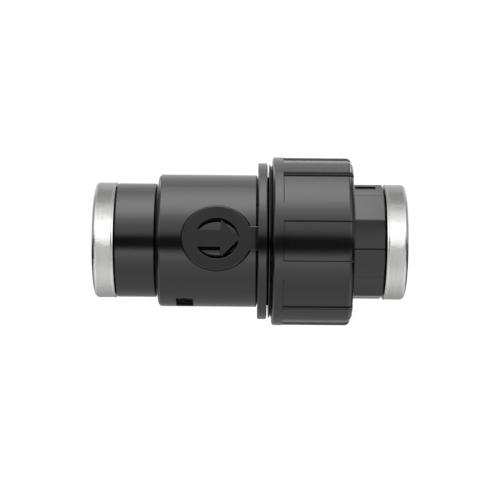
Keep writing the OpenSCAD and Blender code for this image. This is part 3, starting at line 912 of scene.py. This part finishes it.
stem_outline = rounded(
    [(stem_x0, 0.0, 0), (stem_x0, THREAD_R - 0.4, 0.1), (stem_x0 + 0.45, THREAD_R, 0.05)]
    + rows(stem_x0 + 0.5, stem_x0 + THREAD_LEN, THREAD_R, THREAD_PITCH, 14)
    + [(STOP_X0, THREAD_R, 0.1), (STOP_X0, STOP_R, 0.2), (STOP_X1, STOP_R, 0.4)]
    + [(STOP_X1, SHAFT_R, 0.15), (clip_x0, SHAFT_R, 0.05), (clip_x0, CLIP_GROOVE_R, 0.05)]
    + [(clip_x1, CLIP_GROOVE_R, 0.05), (clip_x1, SHAFT_R, 0.05), (stem_x1, SHAFT_R, 0.7), (stem_x1, 0.0, 0)]
)
stem = turned_solid("poppet_stem_visual", stem_outline, even_angles(96), stem_warp, material=stem_steel)
stands_for(stem, "poppet_stem")

# ---------------------------------------------------------------- light, floor and camera

AIM = Vector((0, 0, -3.5)) * MM
DISTANCE, LENS, ELEVATION, ROLL = 640 * MM, 118.0, -2.0, 0.5

# Brightness by angle about the flow axis: 0 is the camera's side, 90 overhead, -90 the floor.
ROOM = [
    (-180, 0.38), (-150, 0.46), (-125, 0.6), (-110, 0.76), (-92, 0.92), (-78, 1.02), (-62, 0.95), (-46, 0.8),
    (-35, 0.8), (-27, 0.85), (-22, 0.8), (-17, 0.3), (-12, 0.04), (-2, 0.03), (3, 0.12), (9, 0.9), (16, 1.35),
    (24, 1.6), (38, 1.5), (52, 1.1), (72, 0.78), (86, 0.42), (106, 0.4), (132, 0.6), (180, 0.9),
]
SOFTBOX = [
    (-70, 0.0), (-60, 0.15), (-50, 0.4), (-40, 0.6), (-31, 1.05), (-26, 1.0), (-20, 0.3), (-16, 0.0),
    (26, 0.0), (38, 0.9), (48, 2.5), (58, 3.6), (69, 3.9), (81, 3.5), (94, 2.3), (108, 1.1), (128, 0.6),
    (162, 0.0),
]
FRONT_CARD = [(-24, 0.0), (-14, 0.4), (-8, 1.5), (2, 1.9), (8, 1.1), (16, 0.6), (30, 0.5), (42, 0.0)]
ROOM_TOP, CARD_TOP = 4.0, 5.0


def make_world():
    """Studio room: pale walls and table, a dark card at the camera, bright panels beside it, dark far ends."""
    world = bpy.data.worlds.new("studio")
    bpy.context.scene.world = world
    world.use_nodes = True
    s = Nodes(world.node_tree, "Generated")
    x, y, z = s.xyz()
    side = s.math("ABSOLUTE", x)
    level = s.ramp(s.turn_share(y, z), ROOM, ROOM_TOP)
    panel = s.times(s.remap(side, 0.26, 0.4, 0, 1), s.remap(side, 0.52, 0.66, 1, 0))
    level = s.times(level, s.math("ADD", 1.0, s.times(panel, 0.6)))
    ends = s.times(s.remap(side, 0.62, 0.82, 0.0, 0.55), s.remap(z, -0.5, -0.2, 0.0, 1.0))
    ends = s.times(ends, s.remap(y, -0.1, 0.2, 1.0, 0.0))
    level = s.times(level, s.math("SUBTRACT", 1.0, ends))
    low = s.times(s.remap(z, -0.55, -0.47, 0.0, 1.0), s.remap(z, -0.05, -0.01, 1.0, 0.0))
    slot = s.times(s.remap(side, 0.5, 0.62, 0.0, 0.96), s.remap(y, -0.6, -0.45, 0.0, 1.0), low)
    level = s.times(level, s.math("SUBTRACT", 1.0, slot))
    lit, seen = s.node("ShaderNodeBackground"), s.node("ShaderNodeBackground")
    s.put(lit.inputs["Strength"], level)
    s.put(lit.inputs["Color"], (1.0, 0.998, 0.995, 1))
    s.put(seen.inputs["Strength"], 1.05)
    s.put(seen.inputs["Color"], (1, 1, 1, 1))
    mix, path = s.node("ShaderNodeMixShader"), s.node("ShaderNodeLightPath")
    out = s.node("ShaderNodeOutputWorld")
    s.link(path.outputs["Is Camera Ray"], mix.inputs[0])
    s.link(lit.outputs[0], mix.inputs[1])
    s.link(seen.outputs[0], mix.inputs[2])
    s.link(mix.outputs[0], out.inputs[0])
    world.cycles.sampling_method = "MANUAL"
    world.cycles.sample_map_resolution = 1024


def stage_object(name, verts, faces):
    """Mesh in metres that belongs to the studio, not to the valve."""
    mesh = bpy.data.meshes.new(name)
    mesh.from_pydata(verts, [], faces)
    o = bpy.data.objects.new(name, mesh)
    bpy.context.scene.collection.objects.link(o)
    return o


def make_glow(name, stops, receives, half, fall, wings=0.0):
    """Arched card that glows without blocking, for the pieces picked by receives.

    It is even for half its length and fades over fall; wings brighten it beyond its ends.
    """
    radius, reach, shift, steps = 0.5, 0.35, 0.012, 64
    start, end = math.radians(stops[0][0]), math.radians(stops[-1][0])
    arch = [start + (end - start) * k / steps for k in range(steps + 1)]
    verts = [(e * reach, -radius * math.cos(t), radius * math.sin(t)) for t in arch for e in (-1, 1)]
    faces = [(2 * k, 2 * k + 1, 2 * k + 3, 2 * k + 2) for k in range(steps)]
    o = stage_object(name, verts, faces)
    s = Shader(name)
    x, y, z = s.xyz()
    share = s.turn_share(y, z)
    level = s.ramp(share, stops, CARD_TOP)
    level = s.times(level, s.remap(s.math("ABSOLUTE", s.math("ADD", x, shift)), half, half + fall, 1, 0))
    side = s.math("ABSOLUTE", x)
    wing = s.times(s.remap(side, 0.17, 0.22, 0, 1), s.remap(side, 0.3, 0.34, 1, 0))
    wing = s.times(wing, s.remap(share, 0.5 + 88 / 360, 0.5 + 100 / 360, 0, wings))
    wing = s.times(wing, s.remap(share, 0.5 + 125 / 360, 0.5 + 140 / 360, 1, 0))
    glow, clear = s.node("ShaderNodeEmission"), s.node("ShaderNodeBsdfTransparent")
    both = s.node("ShaderNodeAddShader")
    s.put(glow.inputs["Strength"], s.math("ADD", level, wing))
    s.link(glow.outputs[0], both.inputs[0])
    s.link(clear.outputs[0], both.inputs[1])
    s.link(both.outputs[0], s.out.inputs[0])
    s.tree.nodes.remove(s.bsdf)
    o.data.materials.append(s.mat)
    o.visible_camera = False
    receivers = bpy.data.collections.new(name + " lights")
    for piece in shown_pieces():
        if receives(piece.name):
            receivers.objects.link(piece)
    o.light_linking.receiver_collection = receivers
    o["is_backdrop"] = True


def make_floor():
    """Pale floor under the union nut. Reflections look past it into the room, which is as pale."""
    reach, z = 1.5, -nut_r * MM
    verts = [(-reach, -reach, z), (reach, -reach, z), (reach, reach, z), (-reach, reach, z)]
    o = stage_object("floor", verts, [(0, 1, 2, 3)])
    s = Shader("floor")
    s.set(Base_Color=s.mix(s.noise(300, 3, 0.5), (0.4, 0.4, 0.4, 1), (0.43, 0.43, 0.43, 1)), Roughness=0.6)
    glow, clear = s.node("ShaderNodeEmission"), s.node("ShaderNodeBsdfTransparent")
    seen, under = s.node("ShaderNodeMixShader"), s.node("ShaderNodeMixShader")
    geometry, path = s.node("ShaderNodeNewGeometry"), s.node("ShaderNodeLightPath")
    s.put(glow.inputs["Strength"], 1.1)
    s.put(seen.inputs[0], 0.93)
    s.link(s.bsdf.outputs[0], seen.inputs[1])
    s.link(glow.outputs[0], seen.inputs[2])
    s.put(under.inputs[0], s.times(geometry.outputs["Backfacing"], path.outputs["Is Camera Ray"]))
    s.link(seen.outputs[0], under.inputs[1])
    s.link(clear.outputs[0], under.inputs[2])
    s.link(under.outputs[0], s.out.inputs[0])
    o.data.materials.append(s.mat)
    o.visible_glossy = False
    o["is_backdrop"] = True


def make_camera():
    camera = bpy.data.objects.new("camera", bpy.data.cameras.new("camera"))
    bpy.context.scene.collection.objects.link(camera)
    camera.data.sensor_width, camera.data.lens = 36.0, LENS
    camera.data.clip_start, camera.data.clip_end = 0.01, 20
    elevation = math.radians(ELEVATION)
    back = Vector((0, -math.cos(elevation), math.sin(elevation)))
    roll = Matrix.Rotation(math.radians(ROLL), 3, "Z").to_quaternion()
    camera.location = AIM + back * DISTANCE
    camera.rotation_mode = "QUATERNION"
    camera.rotation_quaternion = (-back).to_track_quat("-Z", "Y") @ roll
    bpy.context.scene.camera = camera


def is_ring(name):
    return name.startswith(("inlet_ring", "outlet_ring"))


make_world()
make_glow("softbox", SOFTBOX, lambda name: not is_ring(name), 0.09, 0.08, 3.0)
make_glow("front_card", FRONT_CARD, is_ring, 0.2, 0.1)
make_floor()
make_camera()
bpy.context.scene.view_settings.view_transform = "Standard"
bpy.context.scene.view_settings.look = "None"
